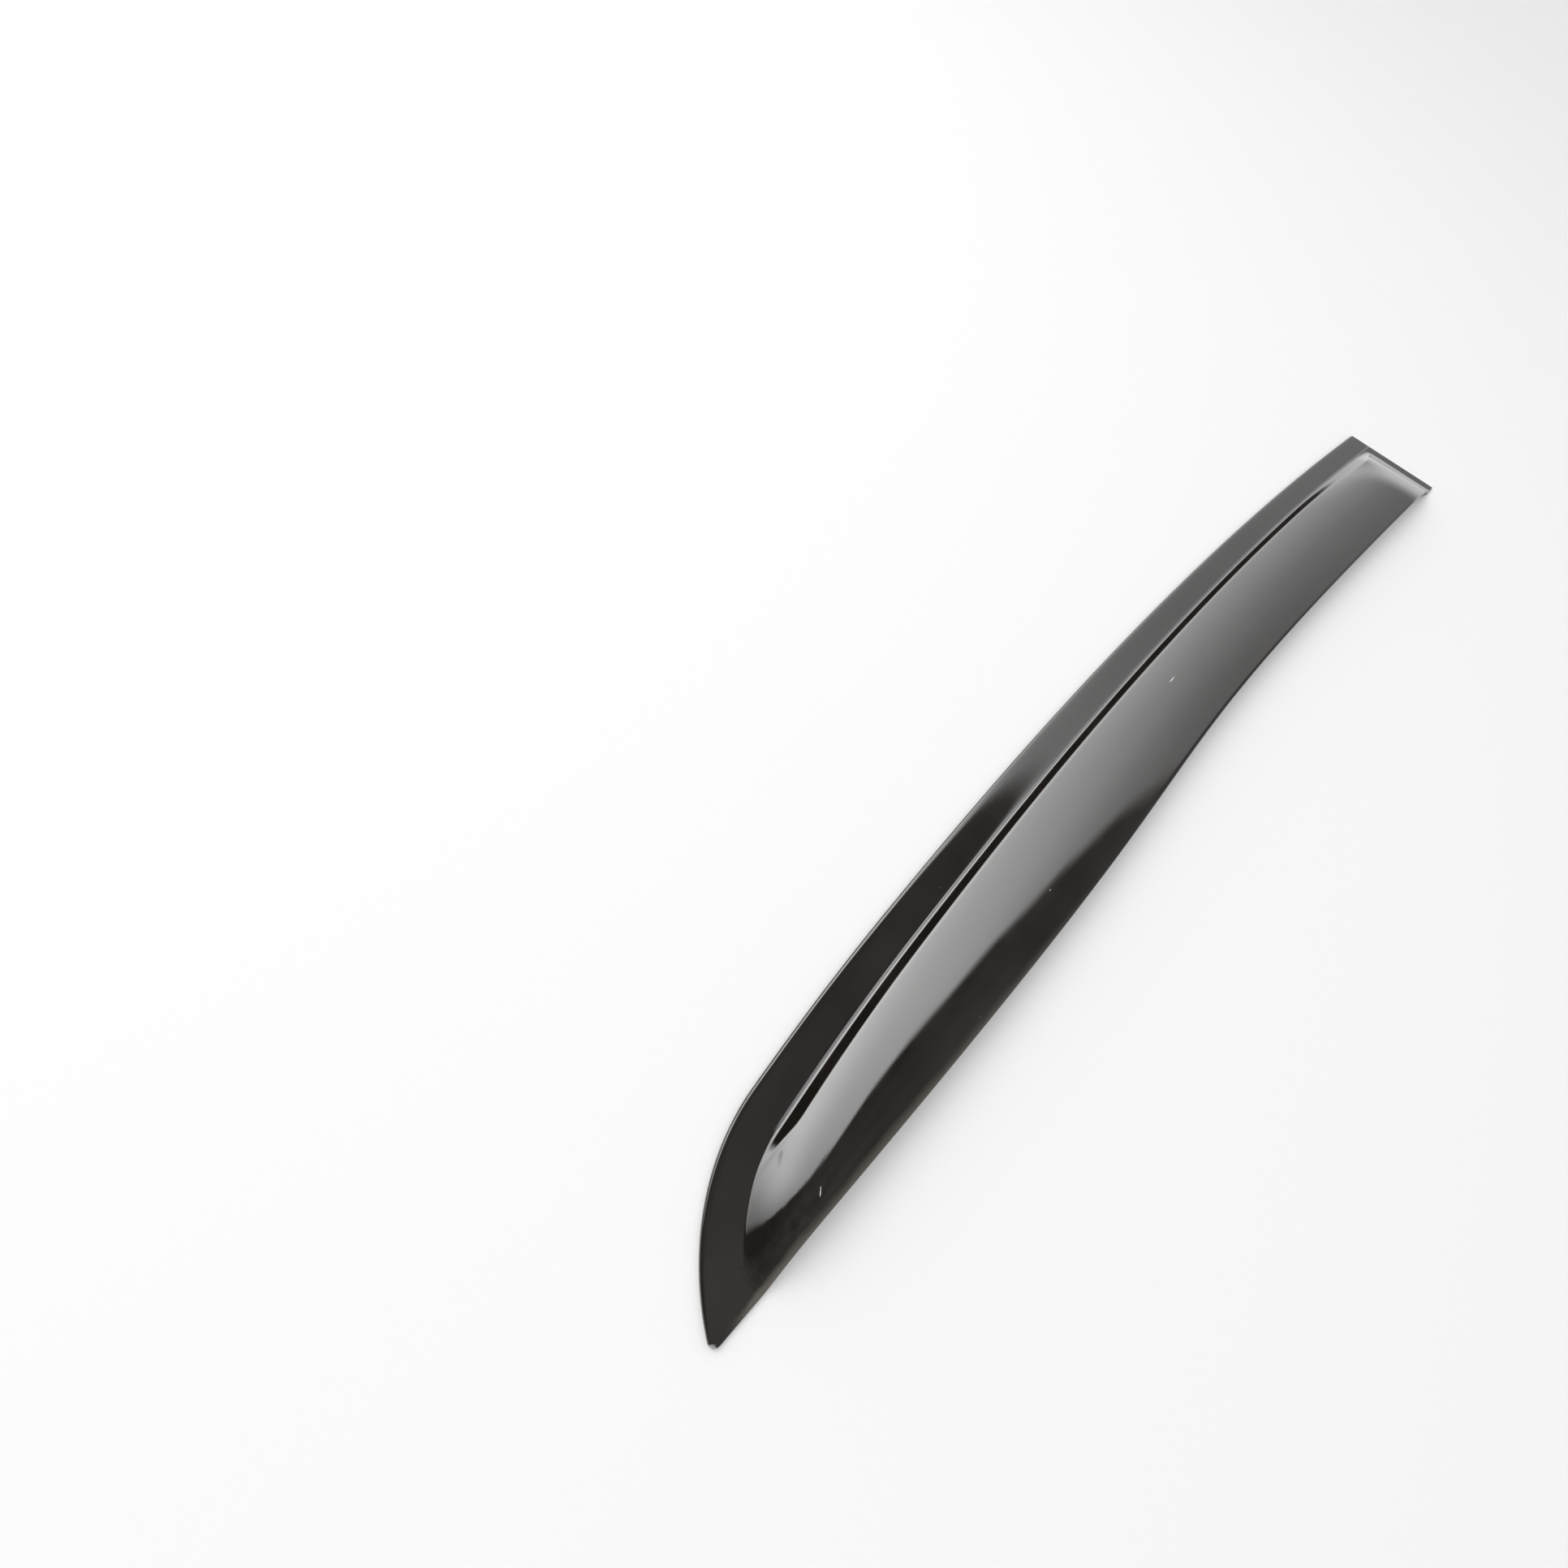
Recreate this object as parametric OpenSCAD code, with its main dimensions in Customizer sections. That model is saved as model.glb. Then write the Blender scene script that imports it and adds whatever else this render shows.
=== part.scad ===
// Stick-on rain deflector for the window of a rear door.
// One sheet of smoked acrylic, drawn over a mould while hot and trimmed to its outline.
// A flat flange follows the window frame along the upper edge and round both ends. Inside it the
// sheet steps out over a small riser, and the visor face swells away from the glass as far as the
// free lower edge, where it stands proud to let air out and keep rain off.
// Lengths are in millimetres. X runs from the rear tip to the front, Y up the window, Z outwards.

/* [Plan outline] */
// Chord from the rear tip to the upper front corner
length = 784; // [600:2:1000]
// Height of the bowed upper edge over that chord
bow_rise = 47.4; // [36:0.2:60]
// Distance from the rear tip to the highest point of the bow
bow_apex = 164; // [140:1:220]
// Radius of the upper edge behind that point, where it bends more
shoulder_radius = 1360; // [700:20:2000]
// Radius of the rounded rear end
end_radius = 90.5; // [80:0.5:110]
// Radius at the very tip
tip_radius = 2.5; // [2:0.5:5]
// Radius of both front corners
corner_radius = 1.2; // [0.8:0.1:5]
// Depth of the lower front corner under the chord
front_drop = 76; // [65:0.2:95]
// Lean of the cut front end away from square to the chord, in degrees
mitre_angle = 5.2; // [0:0.2:14]
// Fall of the lower edge as it leaves the rear tip, in degrees
rear_edge_angle = 6.2; // [2:0.1:8]
// Distance over which the lower edge holds that rear direction
rear_edge_run = 456; // [300:4:600]
// Fall of the lower edge as it reaches the front, in degrees
front_edge_angle = 8.1; // [6:0.1:13]
// Distance over which the lower edge holds that front direction
front_edge_run = 562; // [300:2:600]
// How far the trimmed lower edge is drawn in for each millimetre that it stands proud
edge_draw_in = 0.27; // [0:0.01:0.4]

/* [Sheet and flange] */
// Thickness of the acrylic sheet
sheet = 2.5; // [2:0.1:3]
// Width of the rounding along the outside of the trimmed edge
edge_round_w = 1.6; // [0.8:0.1:2.5]
// Depth of that rounding, which leaves the rest of the sheet cut square
edge_round_h = 1.1; // [0.5:0.1:1.4]
// Width of the flange along the upper edge
flange_w = 15; // [12:0.5:18]
// Width of the flange along the cut front end
front_flange_w = 10; // [8:0.5:16]
// Length of the flat tongue at the rear tip
rear_flange_w = 25; // [20:0.5:32]

/* [Visor] */
// Height of the visor face over the flange at the lower edge
stand_off = 13; // [11:0.5:18]
// Height of the riser at the upper edge of the visor
riser_h = 4.2; // [2:0.1:5]
// Width of the riser, from the foot of its fillet to the crease
riser_w = 5.6; // [5:0.1:9]
// Share of that width that goes to the fillet, before the straight wall
riser_fillet = 0.4; // [0.2:0.05:0.8]
// How quickly the face swells from the crease and levels out
face_fullness = 2.5; // [2:0.1:3]
// Distance in which the visor rises at the rear end
rear_wall_run = 38; // [24:1:50]
// How steeply it starts there
rear_wall_fullness = 3; // [2:0.1:3.2]
// Distance in which the visor sinks to the flange at the front end
front_wall_run = 66; // [50:1:110]
// How steeply it ends there
front_wall_fullness = 2; // [1.4:0.1:2.4]
// Share of a wall's run that goes to the fillet at its foot
foot_fillet = 0.06; // [0.02:0.01:0.2]
// Distance from the rear tip at which the riser starts
riser_start = 42; // [36:1:60]
// Length over which it grows to its full height
riser_growth = 34; // [24:1:80]
// Distance from the front end at which the riser starts to soften
riser_softening = 150; // [100:10:300]
// Share of the riser's height that is left at the front end
riser_left = 1; // [0.2:0.05:1.2]
// How many times wider the riser gets on its way there
riser_spread = 1.6; // [1:0.1:3]
// Distance in which that height sinks to the flange at the front end
front_foot_run = 26; // [12:1:40]

/* [Hidden] */

// Height of the flange's outside, with its back on z = 0
flange_top = sheet;
// Circle of the bow, through its highest point and the upper front corner
bow_radius = (pow(length - bow_apex, 2) + pow(bow_rise, 2)) / (2 * bow_rise);
bow_centre = [bow_apex, bow_rise - bow_radius];
// Circle of the shoulder, which touches the bow at its highest point
shoulder_centre = [bow_apex, bow_rise - shoulder_radius];
// Circle of the rear end: it passes through the rear tip and touches the shoulder from inside
centre_gap = norm(shoulder_centre);
along_gap = (pow(end_radius, 2) - pow(shoulder_radius - end_radius, 2) + pow(centre_gap, 2))
    / (2 * centre_gap);
across_gap = sqrt(pow(end_radius, 2) - pow(along_gap, 2));
gap_dir = shoulder_centre / centre_gap;
end_centre = along_gap * gap_dir + across_gap * [-gap_dir[1], gap_dir[0]];
touch_dir = (end_centre - shoulder_centre) / norm(end_centre - shoulder_centre);
touch_x = end_centre[0] + end_radius * touch_dir[0];
// Lower front corner and the two handles of the lower edge's curve
front_lean = front_drop * tan(mitre_angle);
edge_end = [length + front_lean, -front_drop];
edge_a = rear_edge_run * [cos(rear_edge_angle), -sin(rear_edge_angle)];
edge_b = edge_end - front_edge_run * [cos(front_edge_angle), -sin(front_edge_angle)];
// Small circle that rounds the tip, resting on the lower edge and inside the rear end's circle
tip_along = [cos(rear_edge_angle), -sin(rear_edge_angle)];
tip_up = [sin(rear_edge_angle), cos(rear_edge_angle)];
tip_from_end = tip_radius * tip_up - end_centre;
tip_half = tip_along * tip_from_end;
tip_rest = tip_from_end * tip_from_end - pow(end_radius - tip_radius, 2);
tip_centre = (-tip_half - sqrt(pow(tip_half, 2) - tip_rest)) * tip_along + tip_radius * tip_up;
tip_x = tip_centre[0] - tip_radius;
tip_top_dir = (tip_centre - end_centre) / norm(tip_centre - end_centre);
tip_top_x = tip_centre[0] + tip_radius * tip_top_dir[0];
tip_low_x = tip_centre[0] - tip_radius * tip_up[0];
// Length over which the rows turn from square to the chord to the lean of the front end
lean_run = 260;
// Smallest width that the riser's rows of points keep where the riser has faded out
least_riser_w = 1.5;
// Smallest width that the face keeps in its height formula
least_face_w = 1;
// Smallest length or share that still counts as more than nothing
tiny = 0.0001;
// Halvings in the search for a place on the lower edge
halvings = 30;

function clamp(v, lo, hi) = min(max(v, lo), hi);
function smooth(t) = let (c = clamp(t, 0, 1)) c * c * (3 - 2 * c);

// Centre and radius of the upper edge's arc at a distance x from the rear tip
function arc_centre(x) = x < touch_x ? end_centre : x < bow_apex ? shoulder_centre : bow_centre;
function arc_radius(x) = x < touch_x ? end_radius : x < bow_apex ? shoulder_radius : bow_radius;
// Upper edge over the chord
function upper_y(x) =
    x < tip_top_x ? tip_centre[1] + sqrt(max(0, pow(tip_radius, 2) - pow(x - tip_centre[0], 2)))
    : arc_centre(x)[1] + sqrt(pow(arc_radius(x), 2) - pow(x - arc_centre(x)[0], 2));

// Lower edge: a cubic curve, found at x by halving, with the small circle at the tip
function edge_at(t) =
    3 * pow(1 - t, 2) * t * edge_a + 3 * (1 - t) * t * t * edge_b + pow(t, 3) * edge_end;
function edge_t(x, lo = 0, hi = 1, n = halvings) =
    n == 0 ? (lo + hi) / 2
    : let (mid = (lo + hi) / 2)
        edge_at(mid)[0] < x ? edge_t(x, mid, hi, n - 1) : edge_t(x, lo, mid, n - 1);
function lower_y(x) =
    x < tip_low_x ? tip_centre[1] - sqrt(max(0, pow(tip_radius, 2) - pow(x - tip_centre[0], 2)))
    : x >= edge_end[0] ? edge_end[1]
    : edge_at(edge_t(x))[1];

// Distance of a point in the plan from the upper edge
function from_edge(p, x) = arc_radius(x) - norm(p - arc_centre(x));

// Rise of a wall from 0 to 1, which leaves its foot in a fillet and levels out at its top
function wall_rise(t, fullness, fillet) =
    let (c = clamp(t, 0, 1), u = c * c * (1 + fillet) / (c + fillet)) 1 - pow(1 - u, fullness);

// Share of the full height that the ends leave at x: a wall at the rear, a long fall at the front
function rear_share(x) =
    wall_rise((x - rear_flange_w) / rear_wall_run, rear_wall_fullness, foot_fillet);
function front_share(x) = wall_rise(
    (length - front_flange_w - x) / front_wall_run, front_wall_fullness, foot_fillet);
// Share of the riser's own height that the ends leave: the front end's foot is a quick one
function foot_share(x) = rear_share(x) * wall_rise(
    (length - front_flange_w - x) / front_foot_run, front_wall_fullness, foot_fillet);
// How much of the riser there is at x, as it grows at the rear and softens at the front
function riser_grown(x) = smooth((x - riser_start) / riser_growth);
function riser_softened(x) = smooth((x - length + riser_softening) / riser_softening);
function riser_lift(x) = riser_h * riser_grown(x) * (1 - (1 - riser_left) * riser_softened(x));
function riser_width(x) = riser_w * riser_grown(x) * (1 + (riser_spread - 1) * riser_softened(x));
// Height of the free lower edge over the flange
function edge_height(x) =
    riser_lift(x) * foot_share(x) + (stand_off - riser_lift(x)) * rear_share(x) * front_share(x);

// Rise of the riser from 0 to 1 over its width: a fillet that runs into a straight wall
function riser_rise(u) =
    (u < riser_fillet ? u * u / (2 * riser_fillet) : u - riser_fillet / 2) / (1 - riser_fillet / 2);

// Height of the outside over the flange: fillet and riser up to the crease, then the swelling face
function height(rho, rho_end, x) =
    let (
        width = riser_width(x),
        lift = riser_lift(x) * foot_share(x),
        swell = (stand_off - riser_lift(x)) * rear_share(x) * front_share(x),
        q = clamp((rho - flange_w - width) / max(least_face_w, rho_end - flange_w - width), 0, 1)
    )
    rho <= flange_w ? 0
    : rho < flange_w + width ? lift * riser_rise((rho - flange_w) / width)
    : lift + swell * wall_rise(q, face_fullness, foot_fillet * (1 - riser_grown(x)) + tiny);

// Rows of points, each on a line across the visor. The first lies just inside the tip
tip_inset = 0.04;
first_row = tip_x + tip_inset * tip_radius;
// Counts of the rows that crowd towards the foot of a wall, and how strongly they crowd there
tip_count = 10;
tip_crowding = 2;
wall_count = 8;
wall_crowding = 1.4;
fall_count = 12;
fall_crowding = 1.5;
// Distances between the rows where the riser grows, and along the free length
growth_spacing = 4;
free_spacing = 9.5;
// Places of the points across the rounding of the trimmed edge, from its outer end
round_steps = [0, 0.12, 0.4, 1];
wall_end = rear_flange_w + rear_wall_run;
growth_end = max(wall_end, riser_start + riser_growth) + growth_spacing;
fall_start = length - front_flange_w - front_wall_run;
tip_rows = [for (k = [0:tip_count - 1])
    first_row + (rear_flange_w - first_row) * pow(k / tip_count, tip_crowding)];
wall_rows = [for (k = [0:wall_count - 1])
    rear_flange_w + rear_wall_run * pow(k / wall_count, wall_crowding)];
growth_rows = spread(wall_end, growth_end, growth_spacing);
free_rows = spread(growth_end, fall_start, free_spacing);
fall_rows = [for (k = [0:fall_count])
    fall_start + front_wall_run * (1 - pow(1 - k / fall_count, fall_crowding))];
last_end = max(corner_radius, edge_round_w);
last_rows = [for (k = [len(round_steps) - 1:-1:0]) length - round_steps[k] * last_end];
rows = concat(tip_rows, wall_rows, growth_rows, free_rows, fall_rows, last_rows);

// Evenly spread places from one row up to, but not with, another
function spread(from, to, spacing) =
    let (n = ceil((to - from) / spacing)) [for (k = [0:n - 1]) from + (to - from) * k / n];

// Places of the points along a row: flange, riser and face
riser_steps = [0, 0.14, 0.27, 0.4, 0.7, 1];
face_steps = [0.03, 0.07, 0.12, 0.18, 0.26, 0.36, 0.48, 0.62, 0.8, 1];
// Widths of the rounding that the face's points keep clear of at the lower edge
rim_room = 1.4;
// Largest share of a short row that one rounded edge takes
rim_share = 0.125;

// How far both front corners are rounded away on a row that lies e from the front end
function corner_trim(e) =
    e >= corner_radius ? 0
    : corner_radius - sqrt(pow(corner_radius, 2) - pow(corner_radius - e, 2));

// Depth of the rounding at a place that lies d inside the trimmed edge
function round_depth(d, width) =
    edge_round_h * (1 - sqrt(1 - pow(1 - clamp(d / width, 0, 1), 2)));

// Distance along a row, from its upper end, to the line that lies rho inside the upper edge
function reach(top, dir, x, rho) =
    let (
        b = dir * (top - arc_centre(x)),
        c = pow(norm(top - arc_centre(x)), 2) - pow(arc_radius(x) - rho, 2)
    )
    b * b <= c ? -b : -b - sqrt(b * b - c);

// One row on the outside of the sheet: each point with the depth of the edge's rounding there
function row_points(x) =
    let (
        turn = smooth((x - length + lean_run) / lean_run),
        top = [x, upper_y(x)],
        line_x = min(x + turn * front_lean * (top[1] + front_drop) / front_drop, edge_end[0]),
        line = [line_x, lower_y(line_x)],
        dir = (line - top) / norm(line - top),
        low = line - edge_draw_in * edge_height(x) * dir,
        span = norm(low - top),
        trim = corner_trim(length - x),
        rho_end = max(from_edge(low, x), 0),
        crease = flange_w + max(riser_width(x), least_riser_w),
        rim = min(edge_round_w, rim_share * span),
        rho_in = from_edge(top + (span - trim - rim_room * rim) * dir, x),
        rhos = concat(
            [for (s = riser_steps) flange_w + s * (crease - flange_w)],
            [for (s = face_steps) crease + s * (rho_in - crease)]
        ),
        flat_steps = len(rhos) + 1,
        inner = x < rear_flange_w
            ? [for (k = [1:len(rhos)]) rim + (span - 2 * rim) * k / flat_steps]
            : [for (r = rhos) reach(top, dir, x, r)],
        ds = concat(
            [for (s = round_steps) trim + s * rim],
            inner,
            [for (k = [len(round_steps) - 1:-1:0]) span - trim - round_steps[k] * rim]
        )
    )
    [for (d = ds)
        let (
            p = top + d * dir,
            rho = d <= 0 ? 0 : from_edge(p, x),
            inside = min(d - trim, span - trim - d, length - x, x - first_row)
        )
        [p[0], p[1], flange_top + height(rho, rho_end, x), round_depth(inside, rim)]];

measured = [for (x = rows) row_points(x)];
row_count = len(measured);
column_count = len(measured[0]);
outside = [for (row = measured) [for (p = row) [p[0], p[1], p[2]]]];

// Direction square to the sheet at one point, upright wherever the sheet is flat
function square_to(i, j) =
    let (
        along = outside[min(i + 1, row_count - 1)][j] - outside[max(i - 1, 0)][j],
        across = outside[i][min(j + 1, column_count - 1)] - outside[i][max(j - 1, 0)],
        n = cross(across, along)
    )
    outside[i][j][2] <= flange_top + tiny || norm(n) < tiny ? [0, 0, 1] : n / norm(n);

// The whole sheet as one closed skin, centred on its own outline with the flange's back on z = 0
module visor_shell() {
    squares = [for (i = [0:row_count - 1]) [for (j = [0:column_count - 1]) square_to(i, j)]];
    top_points = [for (i = [0:row_count - 1]) for (j = [0:column_count - 1])
        outside[i][j] - measured[i][j][3] * squares[i][j]];
    back_points = [for (i = [0:row_count - 1]) for (j = [0:column_count - 1])
        outside[i][j] - sheet * squares[i][j]];
    grid = row_count * column_count;
    function spot(i, j) = i * column_count + j;
    top_faces = [for (i = [0:row_count - 2]) for (j = [0:column_count - 2]) each [
        [spot(i, j), spot(i + 1, j), spot(i + 1, j + 1)],
        [spot(i, j), spot(i + 1, j + 1), spot(i, j + 1)]
    ]];
    back_faces = [for (f = top_faces) [f[0] + grid, f[2] + grid, f[1] + grid]];
    rim = concat(
        [for (i = [0:row_count - 1]) spot(i, 0)],
        [for (j = [1:column_count - 1]) spot(row_count - 1, j)],
        [for (i = [row_count - 2:-1:0]) spot(i, column_count - 1)],
        [for (j = [column_count - 2:-1:1]) spot(0, j)]
    );
    rim_faces = [for (k = [0:len(rim) - 1]) let (a = rim[k], b = rim[(k + 1) % len(rim)]) each [
        [a, a + grid, b + grid],
        [a, b + grid, b]
    ]];
    color("#2b2b2a")
        translate([-(first_row + edge_end[0]) / 2, -(bow_rise - front_drop) / 2, 0])
            polyhedron(concat(top_points, back_points), concat(top_faces, back_faces, rim_faces));
}

visor_shell();
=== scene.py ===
import math
from functools import partial

import bmesh
import bpy
from mathutils import Matrix, Vector
from mathutils.kdtree import KDTree


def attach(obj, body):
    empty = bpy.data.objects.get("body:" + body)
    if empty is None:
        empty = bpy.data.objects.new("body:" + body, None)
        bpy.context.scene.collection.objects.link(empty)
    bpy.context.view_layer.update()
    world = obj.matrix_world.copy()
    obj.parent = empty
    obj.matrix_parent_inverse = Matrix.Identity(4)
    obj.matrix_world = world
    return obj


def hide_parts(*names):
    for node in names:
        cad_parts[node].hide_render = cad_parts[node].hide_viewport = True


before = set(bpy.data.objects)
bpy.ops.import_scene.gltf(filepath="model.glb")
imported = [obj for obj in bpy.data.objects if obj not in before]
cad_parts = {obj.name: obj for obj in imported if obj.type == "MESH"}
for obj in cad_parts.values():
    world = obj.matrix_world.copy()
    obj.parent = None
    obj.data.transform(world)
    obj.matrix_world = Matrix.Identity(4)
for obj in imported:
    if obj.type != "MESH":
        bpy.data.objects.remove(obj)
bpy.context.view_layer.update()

# Visor sheet: one piece of smoked acrylic, 2.5 mm thick, drawn over a polished mould while hot and then
# trimmed to its outline. It is near black with a warm cast, and its gloss runs over flange, riser and
# face without a break. Only the edge at its back is sharp. Wear shows along the trimmed edges, and a
# highlight is painted along the lower edge.
WELD = 1e-6
LYING_TILT = 0.3
ROW_LEAN = 0.1
SHARP_ANGLE = math.radians(50.0)
REFINE = 2

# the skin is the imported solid's own, welded, joined into four-sided cells and then refined
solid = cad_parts["visor_shell"]
sheet = bmesh.new()
sheet.from_mesh(solid.data)
bmesh.ops.remove_doubles(sheet, verts=sheet.verts, dist=WELD)


# the corners lie in rows that cross the visor from the flange to the lower edge
def crosses_visor(edge):
    a, b = (corner.co for corner in edge.verts)
    return abs(a.x - b.x) < ROW_LEAN * abs(a.y - b.y)


# two rows hold the cells between them, and this edge cuts a facet's cell in two
def facet_diagonal(facet):
    rows = [edge for edge in facet.edges if crosses_visor(edge)]
    if len(rows) != 1:
        return None
    apex = next(corner for corner in facet.verts if corner not in rows[0].verts)
    upper, lower = sorted(rows[0].verts, key=lambda corner: -corner.co.y)
    far = lower if apex.co.x < upper.co.x else upper
    return next(edge for edge in facet.edges if apex in edge.verts and far in edge.verts)


# a diagonal goes where both facets of its cell name it, and the triangles that are left are paired up
named_once = set()
diagonals = []
for facet in sheet.faces:
    diagonal = facet_diagonal(facet) if abs(facet.normal.z) > LYING_TILT else None
    if diagonal is None:
        continue
    if diagonal in named_once:
        diagonals.append(diagonal)
    named_once.add(diagonal)
bmesh.ops.dissolve_edges(sheet, edges=diagonals, use_verts=False, use_face_split=False)
bmesh.ops.join_triangles(sheet, faces=[face for face in sheet.faces if len(face.verts) == 3],
                         angle_face_threshold=math.pi, angle_shape_threshold=math.pi)

# the edge at the back stays sharp when the skin is refined
crease = sheet.edges.layers.float.new("crease_edge")
back_edge = []
for edge in sheet.edges:
    if edge.calc_face_angle() > SHARP_ANGLE:
        edge[crease] = 1.0
        edge.smooth = False
        back_edge.extend(corner.co.copy() for corner in edge.verts)
for face in sheet.faces:
    face.smooth = True

# how far each corner lies from that edge, for the wear and for the painted highlight along the lower edge
rim = sheet.verts.layers.float.new("rim_distance")
nearest = KDTree(len(back_edge))
for index, spot in enumerate(back_edge):
    nearest.insert(spot, index)
nearest.balance()
for corner in sheet.verts:
    spot, index, distance = nearest.find(corner.co)
    corner[rim] = distance

visor_mesh = bpy.data.meshes.new("visor_sheet")
sheet.to_mesh(visor_mesh)
sheet.free()
visor = bpy.data.objects.new("visor_sheet", visor_mesh)
bpy.context.scene.collection.objects.link(visor)
refine = visor.modifiers.new("refine", "SUBSURF")
refine.levels = REFINE
refine.render_levels = REFINE

smoke = bpy.data.materials.new("smoked_acrylic")
smoke.use_nodes = True


def add_node(tree, kind, inputs, **settings):
    node = tree.nodes.new("ShaderNode" + kind)
    for name, value in settings.items():
        setattr(node, name, value)
    for socket, value in inputs.items():
        if isinstance(value, bpy.types.NodeSocket):
            tree.links.new(value, node.inputs[socket])
        else:
            node.inputs[socket].default_value = value
    return node


def add_math(tree, operation, *terms):
    return add_node(tree, "Math", dict(enumerate(terms)), operation=operation).outputs["Value"]


# a soft step from low at start to high at end
def add_ramp(tree, value, start, end, low=0.0, high=1.0):
    ranged = {"Value": value, "From Min": start, "From Max": end, "To Min": low, "To Max": high}
    return add_node(tree, "MapRange", ranged, interpolation_type="SMOOTHSTEP").outputs["Result"]


smoke_node = partial(add_node, smoke.node_tree)
smoke_math = partial(add_math, smoke.node_tree)
smoke_ramp = partial(add_ramp, smoke.node_tree)


# inputs 6 and 7 and output 2 of a Mix node are its colours
def smoke_mix(mask, under, over):
    return smoke_node("Mix", {0: mask, 6: under, 7: over}, data_type="RGBA").outputs[2]


skin = smoke.node_tree.nodes["Principled BSDF"]
surface = smoke_node("TexCoord", {})
place = surface.outputs["Object"]
lengthwise = smoke_node("SeparateXYZ", {"Vector": place}).outputs["X"]
facing = smoke_node("SeparateXYZ", {"Vector": surface.outputs["Normal"]}).outputs["Z"]

# cloudy haze, slow waves and a fine grain in the gloss, left by the mould
CLOUDS = {"Scale": 42.0, "Detail": 3.0}
WAVES = {"Scale": 26.0, "Detail": 1.0}
WAVE_STRETCH = (0.35, 1.0, 1.0)
GRAIN = {"Scale": 950.0, "Detail": 1.0}
clouds = smoke_node("TexNoise", {"Vector": place, **CLOUDS}).outputs["Fac"]
stretched = smoke_node("Mapping", {"Vector": place, "Scale": WAVE_STRETCH}).outputs["Vector"]
waves = smoke_node("TexNoise", {"Vector": stretched, **WAVES}).outputs["Fac"]
grain = smoke_node("TexNoise", {"Vector": place, **GRAIN}).outputs["Fac"]

# the trimmed edges, told by how steeply the skin stands there and by how near the back edge is
EDGE_TILT = (0.5, 0.35)
EDGE_REACH = (0.0036, 0.0028)
rim_distance = smoke_node("Attribute", {}, attribute_name="rim_distance").outputs["Fac"]
upright = smoke_ramp(smoke_math("ABSOLUTE", facing), *EDGE_TILT)
trimmed = smoke_math("MULTIPLY", upright, smoke_ramp(rim_distance, *EDGE_REACH))

# the painted highlight of the lower rim, in a pale brown: it follows the lower edge from a little inside
# the rear tip, and its width wavers
RIM_REACH = (0.0044, 0.0029)
RIM_WAVER = 0.5
RIM_START = (-0.389, -0.376)
LOWER_SLOPE = (0.1, 1.0, 0.0)
LOWER_PLACE = (-0.0170, -0.0240)
wavering = smoke_math("MULTIPLY", rim_distance, smoke_math("ADD", clouds, RIM_WAVER))
below = smoke_node("VectorMath", {0: place, 1: LOWER_SLOPE}, operation="DOT_PRODUCT").outputs["Value"]
lower_side = smoke_math("MULTIPLY", smoke_ramp(below, *LOWER_PLACE), smoke_ramp(lengthwise, *RIM_START))
lower_rim_highlight = smoke_math("MULTIPLY", smoke_ramp(wavering, *RIM_REACH), lower_side)

# two hairlines beside the crease, at their distances from the upper edge, which is a long bow before
# the crown and a tighter shoulder behind it
CROWN_X = -0.232477
BOW_RADIUS = 4.07869
BOW_CENTRE = (CROWN_X, -4.01699, 0.0)
SHOULDER_RADIUS = 1.36
SHOULDER_CENTRE = (CROWN_X, -1.2983, 0.0)
HAIRLINES = (0.01535, 0.0162)
HAIRLINE_HALF = 0.00014
HAIRLINE_START = (-0.334, -0.324)
IN_PLAN = (1.0, 1.0, 0.0)
plan_place = smoke_node("VectorMath", {0: place, 1: IN_PLAN}, operation="MULTIPLY").outputs["Vector"]


def distance_inside(radius, centre):
    span = smoke_node("VectorMath", {0: plan_place, 1: centre}, operation="DISTANCE").outputs["Value"]
    return smoke_math("SUBTRACT", radius, span)


edge_distance = smoke_node("Mix", {"Factor": smoke_math("GREATER_THAN", lengthwise, CROWN_X),
                                   "A": distance_inside(SHOULDER_RADIUS, SHOULDER_CENTRE),
                                   "B": distance_inside(BOW_RADIUS, BOW_CENTRE)},
                           data_type="FLOAT").outputs["Result"]
hairline = 0.0
for line_distance in HAIRLINES:
    away = smoke_math("ABSOLUTE", smoke_math("SUBTRACT", edge_distance, line_distance))
    hairline = smoke_math("MAXIMUM", hairline, smoke_ramp(away, HAIRLINE_HALF, 0.0))
hairline = smoke_math("MULTIPLY", hairline, smoke_ramp(lengthwise, *HAIRLINE_START))

# three chips and the scraped tip, on the outer side only, as centre, half sizes, turn and paleness
CHIPS = (
    ((-0.33682, 0.01865), (0.0018, 0.00022), 32.0, 0.7),
    ((0.0005, 0.02092), (0.0036, 0.0003), -3.0, 1.0),
    ((-0.17033, 0.01184), (0.0004, 0.0003), 0.0, 0.6),
    ((-0.39480, 0.01540), (0.0026, 0.0019), -70.0, 0.5),
)
CHIP_HEIGHT = 0.01
CHIP_DEPTH = 0.02
CHIP_RAGGED = 0.9
CHIP_FADE = (1.5, 1.1)
OUTER_SIDE = (0.0, 0.1)
chipped = 0.0
for centre, halves, turn, paleness in CHIPS:
    local = smoke_node("Mapping", {"Vector": place, "Location": (*centre, CHIP_HEIGHT),
                                   "Rotation": (0.0, 0.0, math.radians(turn)),
                                   "Scale": (*halves, CHIP_DEPTH)}, vector_type="TEXTURE").outputs["Vector"]
    reach = smoke_node("VectorMath", {0: local}, operation="LENGTH").outputs["Value"]
    ragged = smoke_math("MULTIPLY_ADD", grain, CHIP_RAGGED, reach)
    chipped = smoke_math("MAXIMUM", chipped, smoke_ramp(ragged, *CHIP_FADE, 0.0, paleness))
chipped = smoke_math("MULTIPLY", chipped, smoke_ramp(facing, *OUTER_SIDE))

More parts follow.
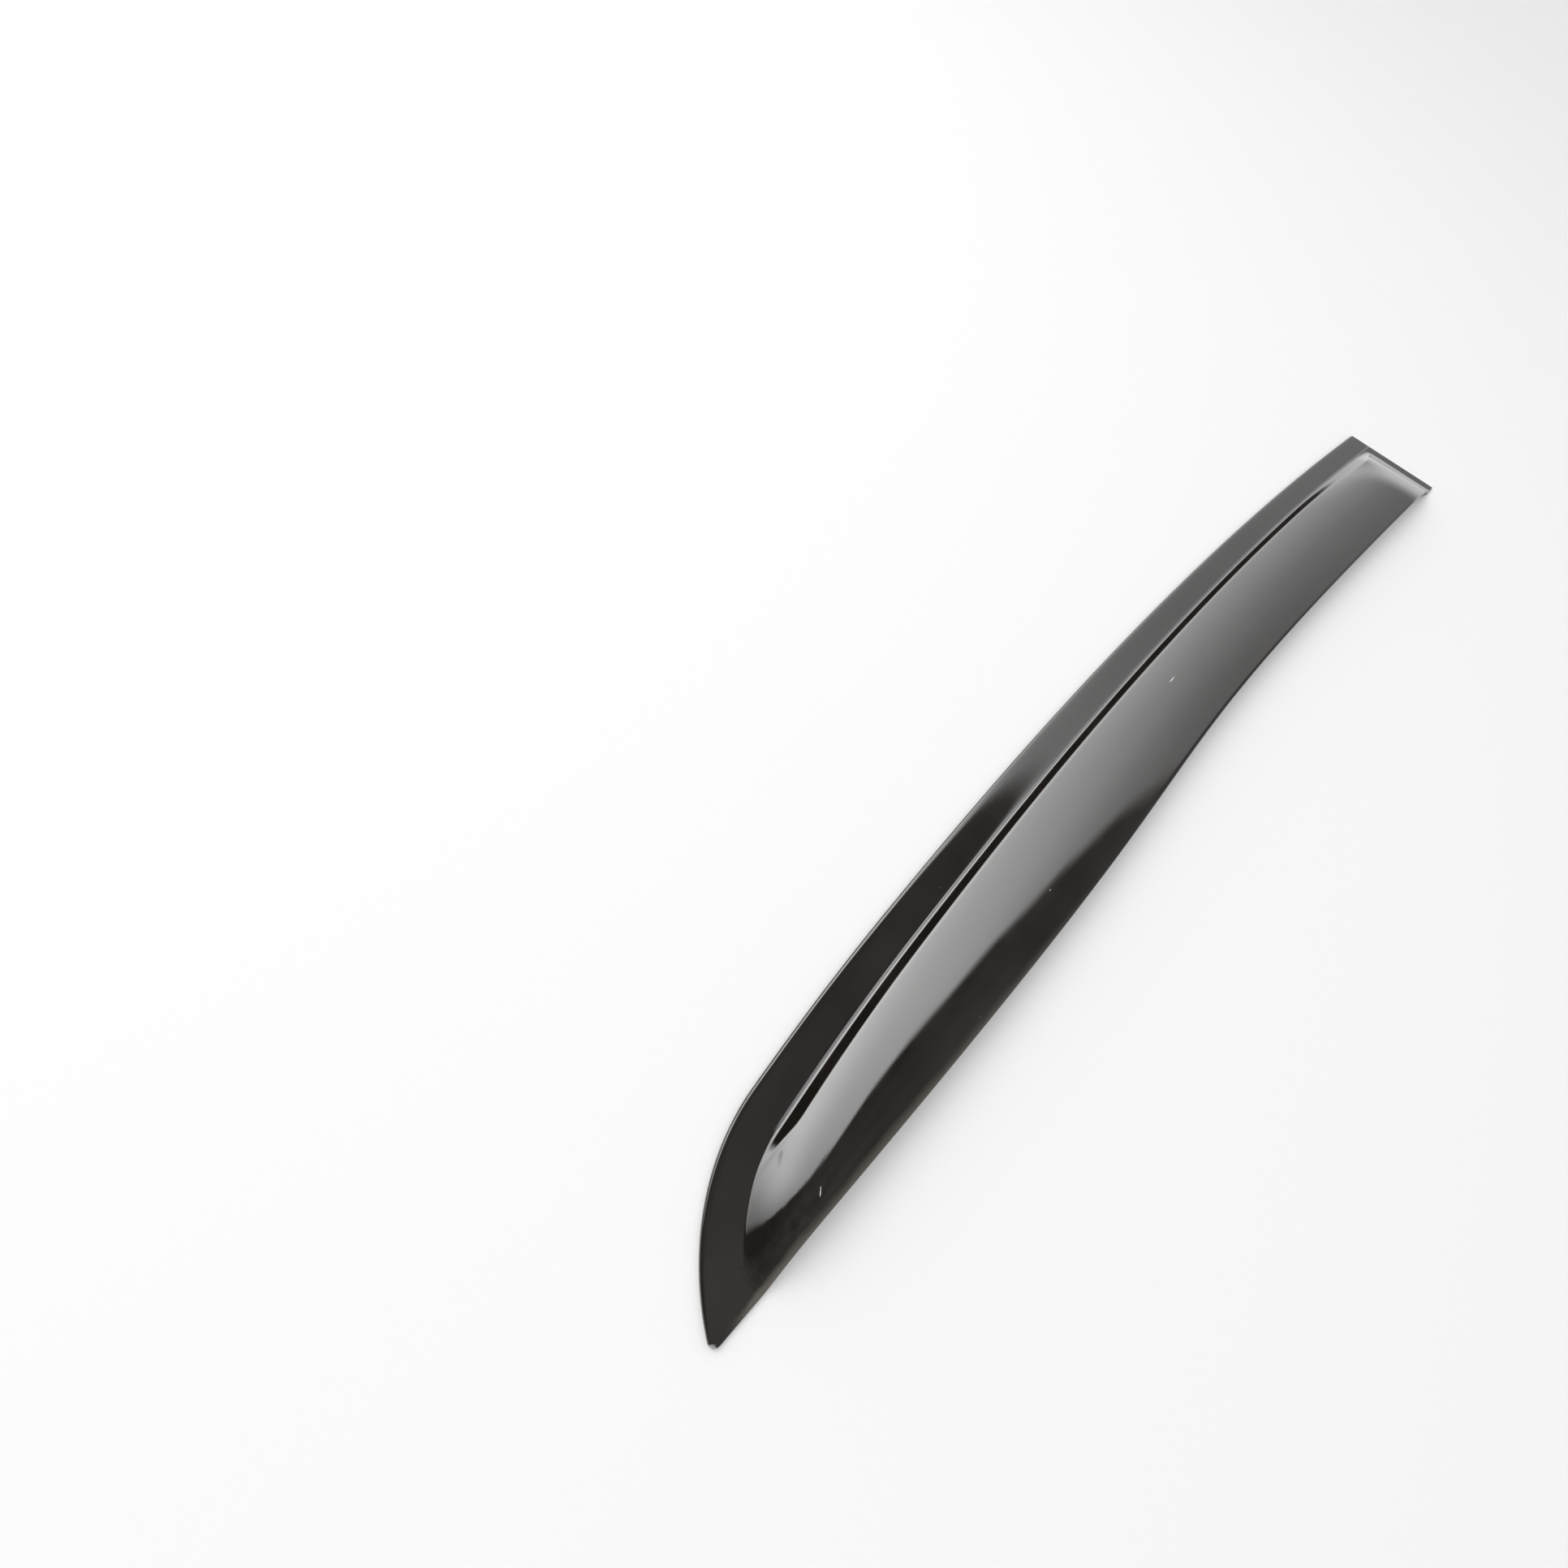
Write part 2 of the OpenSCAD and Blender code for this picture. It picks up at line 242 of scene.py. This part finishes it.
# a little dust: one speck in a few of the cells, on skin that faces up
DUST_SCALE = 210.0
DUST_SPECK = (0.035, 0.021)
DUSTY_CELLS = (0.86, 0.87)
DUST_LIES = (0.3, 0.6)
DUST_COVER = 0.7
cells = smoke_node("TexVoronoi", {"Vector": place, "Scale": DUST_SCALE})
cell_draw = smoke_node("SeparateColor", {"Color": cells.outputs["Color"]}).outputs["Red"]
dusty_place = smoke_math("MULTIPLY", smoke_ramp(cell_draw, *DUSTY_CELLS), smoke_ramp(facing, *DUST_LIES))
dusty = smoke_math("MULTIPLY", smoke_ramp(cells.outputs["Distance"], *DUST_SPECK), dusty_place)

# the colour, from the smoked acrylic up to the pale chips, with a pale brown painted highlight
# along the lower rim
SMOKE = (0.0072, 0.0054, 0.0040, 1.0)
SMOKE_CLOUD = (0.0094, 0.0070, 0.0052, 1.0)
SMOKE_CLOUDS = (0.35, 0.65)
RIM_HIGHLIGHT_BROWN = (0.090, 0.078, 0.066, 1.0)
EDGE_BROWN = (0.050, 0.040, 0.032, 1.0)
DUST = (0.30, 0.29, 0.28, 1.0)
PALE_CHIP = (0.62, 0.61, 0.59, 1.0)
tinted = smoke_mix(smoke_ramp(clouds, *SMOKE_CLOUDS), SMOKE, SMOKE_CLOUD)
# the pale brown of the lower rim is a painted highlight; the trimmed edges' own brown goes over it
edged = smoke_mix(trimmed, smoke_mix(lower_rim_highlight, tinted, RIM_HIGHLIGHT_BROWN), EDGE_BROWN)
dusted = smoke_mix(smoke_math("MULTIPLY", dusty, DUST_COVER), edged, DUST)
smoke.node_tree.links.new(smoke_mix(chipped, dusted, PALE_CHIP), skin.inputs["Base Color"])

# the gloss, dulled where the sheet is trimmed, chipped or dusty, and along the painted highlight of the
# lower rim
GLOSS_CLOUDS = (0.3, 0.7)
GLOSS_ROUGHNESS = (0.045, 0.085)
EDGE_ROUGHNESS = 0.42
CHIP_ROUGHNESS = 0.7
ACRYLIC_IOR = 1.49
glossy = smoke_ramp(clouds, *GLOSS_CLOUDS, *GLOSS_ROUGHNESS)
dull_edge = smoke_math("MULTIPLY", smoke_math("MAXIMUM", trimmed, lower_rim_highlight), EDGE_ROUGHNESS)
dull_spot = smoke_math("MULTIPLY", smoke_math("MAXIMUM", chipped, dusty), CHIP_ROUGHNESS)
dull = smoke_math("MAXIMUM", dull_edge, dull_spot)
smoke.node_tree.links.new(smoke_math("MAXIMUM", glossy, dull), skin.inputs["Roughness"])
skin.inputs["IOR"].default_value = ACRYLIC_IOR

# the relief: the waves, then the grain, then the hairlines cut into both
WAVE_HEIGHT = 0.00012
GRAIN_HEIGHT = 0.000002
HAIRLINE_DEPTH = 0.00005
waved = smoke_node("Bump", {"Distance": WAVE_HEIGHT, "Height": waves}).outputs["Normal"]
grained = smoke_node("Bump", {"Distance": GRAIN_HEIGHT, "Height": grain, "Normal": waved}).outputs["Normal"]
cut = smoke_node("Bump", {"Distance": HAIRLINE_DEPTH, "Height": hairline, "Normal": grained}, invert=True)
smoke.node_tree.links.new(cut.outputs["Normal"], skin.inputs["Normal"])

visor.data.materials.append(smoke)
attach(visor, "root")
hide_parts("visor_shell")

# Floor: a plain pale sheet of matt paper that the part lies on, wide enough to fill the view. It is
# laid flat at the part's lowest point and isn't part of the object.
FLOOR_HALF = 6.0
PAPER_WHITE = (0.88, 0.88, 0.88, 1.0)
PAPER_ROUGHNESS = 0.85
PAPER_GLOSS = 0.1
floor_mesh = bpy.data.meshes.new("floor")
floor_mesh.from_pydata(
    [(-FLOOR_HALF, -FLOOR_HALF, 0.0), (FLOOR_HALF, -FLOOR_HALF, 0.0),
     (FLOOR_HALF, FLOOR_HALF, 0.0), (-FLOOR_HALF, FLOOR_HALF, 0.0)], [], [(0, 1, 2, 3)])
floor = bpy.data.objects.new("floor", floor_mesh)
bpy.context.scene.collection.objects.link(floor)
paper = bpy.data.materials.new("pale_paper")
paper.use_nodes = True
page = paper.node_tree.nodes["Principled BSDF"]
page.inputs["Base Color"].default_value = PAPER_WHITE
page.inputs["Roughness"].default_value = PAPER_ROUGHNESS
page.inputs["Specular IOR Level"].default_value = PAPER_GLOSS
floor.data.materials.append(paper)

# Light: a studio tent, as the gloss mirrors it. One wide bright panel stands beside the flange, with
# a weaker one over its end, cut off above by a dim ceiling, at the far side by dark cloth and below
# by a black foot. Towards the front end the paper sweeps up pale. A soft lamp lights the paper too.
world = bpy.data.worlds.new("studio_tent")
world.use_nodes = True
tent = world.node_tree
background = tent.nodes["Background"]
tent_node = partial(add_node, tent)
tent_math = partial(add_math, tent)
tent_step = partial(add_ramp, tent)
looking = tent_node("TexCoord", {}).outputs["Generated"]
along = tent_node("SeparateXYZ", {"Vector": looking}).outputs


def towards(azimuth, elevation=0.0):
    return Vector((math.cos(azimuth) * math.cos(elevation), math.sin(azimuth) * math.cos(elevation),
                   math.sin(elevation)))


def tent_dot(axis):
    return tent_node("VectorMath", {0: looking, 1: axis}, operation="DOT_PRODUCT").outputs["Value"]


# a glow round its heart that falls off as a bell
def tent_glow(heart, gain, fall):
    faded = tent_math("EXPONENT", tent_math("MULTIPLY_ADD", tent_dot(towards(*heart)), fall, -fall))
    return tent_math("MULTIPLY", faded, gain)


# the panel and the weaker one: the azimuth and elevation of their hearts, their gain and their fall
PANEL_HEART = (math.radians(72.6), math.radians(18.5))
PANEL_GAIN = 12.4
PANEL_FALL = 4.37
OVER_HEART = (math.radians(28.0), math.radians(62.0))
OVER_GAIN = 4.6
OVER_FALL = 12.0
glow = tent_math("ADD", tent_glow(PANEL_HEART, PANEL_GAIN, PANEL_FALL),
                 tent_glow(OVER_HEART, OVER_GAIN, OVER_FALL))

# the panel's upper and far borders, each a plane across the direction that it names, and the folds
# of the cloth that the upper one wavers with
TOP_EDGE = (math.radians(50.9), math.radians(-18.0))
TOP_PLACE = (0.092, 0.147)
SIDE_EDGE = math.radians(36.0)
SIDE_PLACE = (-0.07, 0.07)
FOLDS = {"Scale": 5.0, "Detail": 2.0}
FOLD_DEPTH = 0.12
folds = tent_node("TexNoise", {"Vector": looking, **FOLDS}).outputs["Fac"]
fold_shift = tent_math("MULTIPLY_ADD", folds, FOLD_DEPTH, -0.5 * FOLD_DEPTH)
under_top = tent_step(tent_math("ADD", tent_dot(towards(*TOP_EDGE)), fold_shift), *TOP_PLACE)
near_side = tent_step(tent_dot(towards(SIDE_EDGE)), *SIDE_PLACE)
panel = tent_math("MULTIPLY", glow, tent_math("MULTIPLY", under_top, near_side))

# the ceiling: a dim light that grows towards this vector, shaded by the same folds
CEILING = Vector((-0.12, -0.45, 0.46))
CEILING_LEAST = 0.08
FOLD_SHADE = 1.0
fold_shade = tent_math("MULTIPLY_ADD", folds, 2.0 * FOLD_SHADE, 1.0 - FOLD_SHADE)
ceiling = tent_math("MULTIPLY", tent_math("MAXIMUM", tent_dot(CEILING), CEILING_LEAST), fold_shade)

# the black foot: the plane that it rises to, and the direction at whose back it has faded out
FOOT_RISE = Vector((0.051, -0.327, 1.0))
FOOT_PLACE = (-0.01, 0.045)
FOOT_END = math.radians(4.0)
FOOT_END_PLACE = (-0.09, -0.01)
over_foot = tent_math("MAXIMUM", tent_step(tent_dot(FOOT_RISE), *FOOT_PLACE),
                      tent_step(tent_dot(-towards(FOOT_END)), *FOOT_END_PLACE))

# the sweep of pale paper: how far round it turns, how high it stands and where along it starts
SWEEP_TURN = (0.3, 0.12)
SWEEP_HEIGHT = (0.33, 0.15)
SWEEP_REACH = (0.55, 0.9)
SWEEP_GAIN = 1.3
swept_round = tent_math("MULTIPLY", tent_step(along["Y"], *SWEEP_TURN), SWEEP_GAIN)
swept_up = tent_math("MULTIPLY", tent_step(along["Z"], *SWEEP_HEIGHT), tent_step(along["X"], *SWEEP_REACH))
sweep = tent_math("MULTIPLY", swept_round, swept_up)

# what the gloss mirrors, over the cloth's own dark tone, against the even light on matt surfaces
TENT_DARK = 0.05
TENT_ON_PAPER = 0.84
lit_tent = tent_math("MULTIPLY_ADD", tent_math("ADD", panel, ceiling), over_foot, sweep)
mirrored = tent_math("ADD", lit_tent, TENT_DARK)
glossy_ray = tent_node("LightPath", {}).outputs["Is Glossy Ray"]
chosen = tent_node("Mix", {"Factor": glossy_ray, "A": TENT_ON_PAPER, "B": mirrored}, data_type="FLOAT")
tent.links.new(chosen.outputs["Result"], background.inputs["Strength"])
background.inputs["Color"].default_value = (1.0, 1.0, 1.0, 1.0)
bpy.context.scene.world = world

LAMP_ACROSS = 1.6
LAMP_WATTS = 14.0
LAMP_PLACE = Vector((-0.3, 1.2, 1.6))
lamp = bpy.data.lights.new("soft_lamp", "AREA")
lamp.shape = "DISK"
lamp.size = LAMP_ACROSS
lamp.energy = LAMP_WATTS
lamp_head = bpy.data.objects.new("soft_lamp", lamp)
bpy.context.scene.collection.objects.link(lamp_head)
lamp_head.location = LAMP_PLACE
lamp_head.rotation_euler = (-LAMP_PLACE).to_track_quat("-Z", "Y").to_euler()
lamp_head.visible_glossy = False
bpy.context.scene.view_settings.view_transform = "Standard"

# Camera: held close over the rear tip with a very wide lens, as in the photograph. It is unshifted,
# and its place and turn were solved from the outline.
FOCAL_PIXELS = 1000.0
FRAME_PIXELS = 1932.0
SENSOR_MM = 36.0
NEAREST_SEEN = 0.01
CAMERA_PLACE = (-0.40176, 0.08324, 0.32282)
CAMERA_RIGHT = Vector((0.6201, -0.7452, 0.2453))
CAMERA_UP = Vector((0.6031, 0.6528, 0.4585))
camera_data = bpy.data.cameras.new("camera")
camera_data.sensor_width = SENSOR_MM
camera_data.lens = SENSOR_MM * FOCAL_PIXELS / FRAME_PIXELS
camera_data.clip_start = NEAREST_SEEN
camera = bpy.data.objects.new("camera", camera_data)
bpy.context.scene.collection.objects.link(camera)
back = CAMERA_RIGHT.cross(CAMERA_UP).normalized()
right = CAMERA_UP.cross(back).normalized()
up = back.cross(right).normalized()
camera_turn = Matrix((right, up, back)).transposed().to_4x4()
camera.matrix_world = Matrix.Translation(CAMERA_PLACE) @ camera_turn
bpy.context.scene.camera = camera
